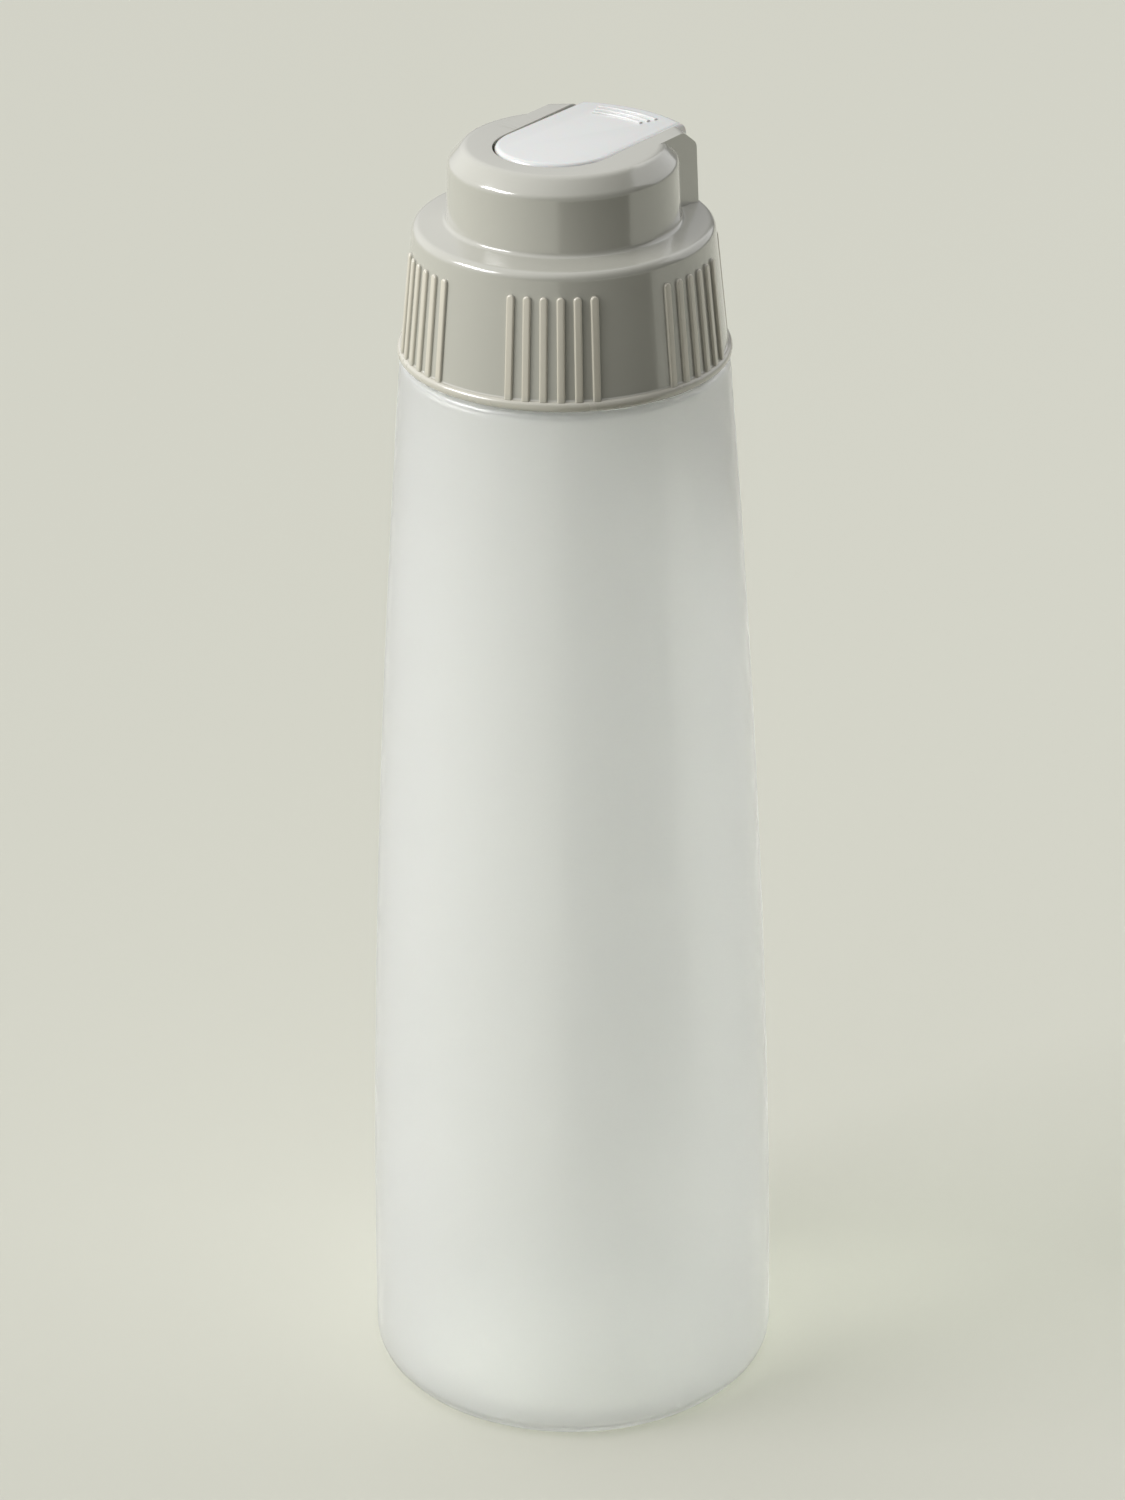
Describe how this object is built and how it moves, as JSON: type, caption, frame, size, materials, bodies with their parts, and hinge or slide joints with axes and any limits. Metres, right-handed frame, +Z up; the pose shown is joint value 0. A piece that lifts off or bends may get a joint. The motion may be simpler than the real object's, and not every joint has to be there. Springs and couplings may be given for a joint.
{
  "type": "sauce bottle",
  "caption": "Tall milky squeeze bottle with a ribbed grey screw cap, whose rocker lever tips up at the front to pour.",
  "frame": {"origin": "middle of the resting ring under the bottle", "axes": "+Z up along the bottle, -Y towards the pouring end of the lever, +Y towards its push end"},
  "size_m": [0.07, 0.07, 0.2224],
  "materials": {
    "milky_polyethylene": "milky, see-through where empty, satin",
    "packing_foam": "matte foamed polyethylene",
    "grey_polypropylene": "warm grey, glossy as moulded",
    "white_polypropylene": "white, glossy as moulded"
  },
  "bodies": {
    "bottle": {"bottle_body": "milky_polyethylene"},
    "packing": {"packing_ring": "packing_foam"},
    "cap": {"screw_cap": "grey_polypropylene"},
    "lever": {"pour_lever": "white_polypropylene"}
  },
  "joints": [
    {"name": "cap_lift", "type": "slide", "parent": "bottle", "child": "packing", "axis": [0, 0, 1], "range_m": [0, 0.00529]},
    {"name": "cap_turn", "type": "hinge", "parent": "packing", "child": "cap", "pos_m": [0, 0, 0.2], "axis": [0, 0, 1], "range_deg": [0, 450]},
    {"name": "lever_rock", "type": "hinge", "parent": "cap", "child": "lever", "pos_m": [0, 0.0055, 0.2172], "axis": [-1, 0, 0], "range_deg": [0, 30]}
  ],
  "couplings": [
    {"joint": "cap_turn", "follows": "cap_lift", "rad_per_m": 1485.4}
  ]
}
